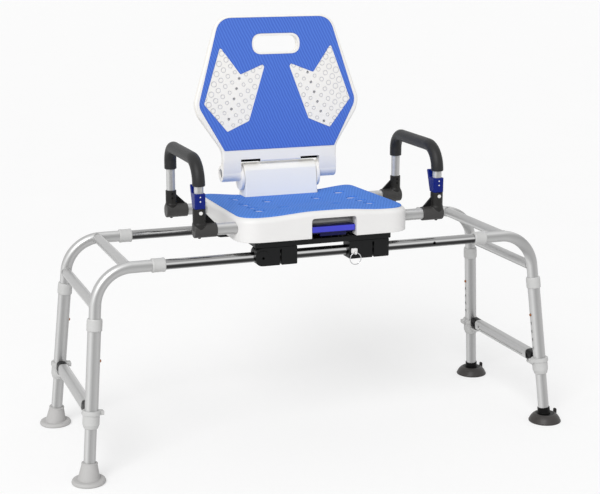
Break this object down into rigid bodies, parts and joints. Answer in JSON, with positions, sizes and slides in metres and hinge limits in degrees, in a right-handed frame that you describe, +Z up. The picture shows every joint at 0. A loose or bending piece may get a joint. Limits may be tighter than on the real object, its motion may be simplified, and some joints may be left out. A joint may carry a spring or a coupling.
{
  "type": "swivel bath seat",
  "caption": "Bath transfer bench: a padded swivel seat with folding back and flip-up arms on a carriage that slides along two rails between splayed, height-adjustable end frames.",
  "frame": {"origin": "on the floor, in the middle of the four feet", "axes": "+X along the rails to the end with the suction cups, +Y to the back of the seat, +Z up"},
  "size_m": [1.1687, 0.4548, 0.9429],
  "materials": {
    "frame_tube": "satin anodised",
    "rail_chrome": "polished",
    "pale_plastic": "fine moulded",
    "pale_rubber": "matt moulded",
    "dark_rubber": "matt moulded",
    "copper_button": "bare",
    "black_plastic": "fine moulded",
    "white_plastic": "satin",
    "blue_foam": "ribbed foam",
    "navy_plastic": "satin",
    "violet_plastic": "satin",
    "grip_foam": "foam",
    "socket_plastic": "fine moulded",
    "bright_steel": "plated"
  },
  "bodies": {
    "frame": {"end_frame_left": "frame_tube", "end_frame_right": "frame_tube", "rail_front": "rail_chrome", "rail_rear": "rail_chrome", "rail_collar_front_left": "pale_plastic", "rail_collar_front_right": "pale_plastic", "rail_collar_rear_left": "pale_plastic", "rail_collar_rear_right": "pale_plastic", "leg_sleeve_front_left": "frame_tube", "sleeve_collar_front_left": "pale_plastic", "brace_clip_front_left": "pale_plastic", "leg_sleeve_front_right": "frame_tube", "sleeve_collar_front_right": "pale_plastic", "brace_clip_front_right": "pale_plastic", "leg_sleeve_rear_left": "frame_tube", "sleeve_collar_rear_left": "pale_plastic", "brace_clip_rear_left": "pale_plastic", "leg_sleeve_rear_right": "frame_tube", "sleeve_collar_rear_right": "pale_plastic", "brace_clip_rear_right": "pale_plastic", "leg_brace_left": "frame_tube", "leg_brace_right": "frame_tube"},
    "leg_front_left": {"leg_tube_front_left": "frame_tube", "foot_front_left": "pale_rubber"},
    "button_front_left": {"snap_button_front_left": "copper_button"},
    "leg_front_right": {"leg_tube_front_right": "frame_tube", "foot_front_right": "dark_rubber"},
    "button_front_right": {"snap_button_front_right": "copper_button"},
    "leg_rear_left": {"leg_tube_rear_left": "frame_tube", "foot_rear_left": "pale_rubber"},
    "button_rear_left": {"snap_button_rear_left": "copper_button"},
    "leg_rear_right": {"leg_tube_rear_right": "frame_tube", "foot_rear_right": "dark_rubber"},
    "button_rear_right": {"snap_button_rear_right": "copper_button"},
    "carriage": {"carriage_base": "black_plastic", "slider_front_left": "black_plastic", "slider_front_right": "black_plastic", "slider_rear_left": "black_plastic", "slider_rear_right": "black_plastic"},
    "pull_pin": {"pull_pin": "white_plastic"},
    "pull_ring": {"pull_ring": "bright_steel"},
    "seat": {"turntable_top": "bright_steel", "seat_shell": "white_plastic", "seat_pad": "blue_foam", "arm_frame": "frame_tube", "hinge_pin": "bright_steel", "front_socket_left": "socket_plastic", "front_socket_right": "socket_plastic"},
    "swivel_lever": {"swivel_lever": "violet_plastic"},
    "back": {"back_shell": "white_plastic", "back_pad": "blue_foam"},
    "arm_left": {"arm_tube_left": "frame_tube", "arm_grip_left": "grip_foam", "rear_bracket_left": "socket_plastic"},
    "arm_right": {"arm_tube_right": "frame_tube", "arm_grip_right": "grip_foam", "rear_bracket_right": "socket_plastic"},
    "latch_left": {"latch_left": "navy_plastic"},
    "latch_right": {"latch_right": "navy_plastic"}
  },
  "joints": [
    {"name": "leg_slide_front_left", "type": "slide", "parent": "frame", "child": "leg_front_left", "axis": [-0.086, -0.0862, -0.9926], "range_m": [0, 0.0792]},
    {"name": "button_press_front_left", "type": "slide", "parent": "frame", "child": "button_front_left", "axis": [-0.9963, 0, 0.0863], "range_m": [0, 0.003], "stiffness_N_per_m": 600, "springref_m": -0.002},
    {"name": "leg_slide_front_right", "type": "slide", "parent": "frame", "child": "leg_front_right", "axis": [0.086, -0.0862, -0.9926], "range_m": [0, 0.0792]},
    {"name": "button_press_front_right", "type": "slide", "parent": "frame", "child": "button_front_right", "axis": [0.9963, 0, 0.0863], "range_m": [0, 0.003], "stiffness_N_per_m": 600, "springref_m": -0.002},
    {"name": "leg_slide_rear_left", "type": "slide", "parent": "frame", "child": "leg_rear_left", "axis": [-0.086, 0.0862, -0.9926], "range_m": [0, 0.0792]},
    {"name": "button_press_rear_left", "type": "slide", "parent": "frame", "child": "button_rear_left", "axis": [-0.9963, 0, 0.0863], "range_m": [0, 0.003], "stiffness_N_per_m": 600, "springref_m": -0.002},
    {"name": "leg_slide_rear_right", "type": "slide", "parent": "frame", "child": "leg_rear_right", "axis": [0.086, 0.0862, -0.9926], "range_m": [0, 0.0792]},
    {"name": "button_press_rear_right", "type": "slide", "parent": "frame", "child": "button_rear_right", "axis": [0.9963, 0, 0.0863], "range_m": [0, 0.003], "stiffness_N_per_m": 600, "springref_m": -0.002},
    {"name": "carriage_slide", "type": "slide", "parent": "frame", "child": "carriage", "axis": [1, 0, 0], "range_m": [-0.196, 0.218]},
    {"name": "pin_pull", "type": "slide", "parent": "carriage", "child": "pull_pin", "axis": [0, -1, 0], "range_m": [0, 0.008], "stiffness_N_per_m": 400, "springref_m": -0.004},
    {"name": "ring_swing", "type": "hinge", "parent": "pull_pin", "child": "pull_ring", "pos_m": [0.06, -0.1804, 0.4466], "axis": [-1, 0, 0], "range_deg": [-5, 90]},
    {"name": "seat_swivel", "type": "hinge", "parent": "carriage", "child": "seat", "pos_m": [-0.0074, 0, 0.496], "axis": [0, 0, 1], "continuous": true},
    {"name": "lever_lift", "type": "hinge", "parent": "seat", "child": "swivel_lever", "pos_m": [0.0076, -0.126, 0.495], "axis": [-1, 0, 0], "range_deg": [0, 10], "stiffness_Nm_per_rad": 1.5, "springref_deg": -4.58},
    {"name": "back_fold", "type": "hinge", "parent": "seat", "child": "back", "pos_m": [-0.0074, 0.141, 0.581], "axis": [1, 0, 0], "range_deg": [0, 90]},
    {"name": "arm_lift_left", "type": "hinge", "parent": "seat", "child": "arm_left", "pos_m": [-0.2845, 0.081, 0.5154], "axis": [-1, 0, 0], "range_deg": [0, 95]},
    {"name": "latch_lift_left", "type": "slide", "parent": "arm_left", "child": "latch_left", "axis": [0, 0, 1], "range_m": [0, 0.008], "stiffness_N_per_m": 500, "springref_m": -0.004},
    {"name": "arm_lift_right", "type": "hinge", "parent": "seat", "child": "arm_right", "pos_m": [0.2697, 0.081, 0.5154], "axis": [-1, 0, 0], "range_deg": [0, 95]},
    {"name": "latch_lift_right", "type": "slide", "parent": "arm_right", "child": "latch_right", "axis": [0, 0, 1], "range_m": [0, 0.008], "stiffness_N_per_m": 500, "springref_m": -0.004}
  ]
}
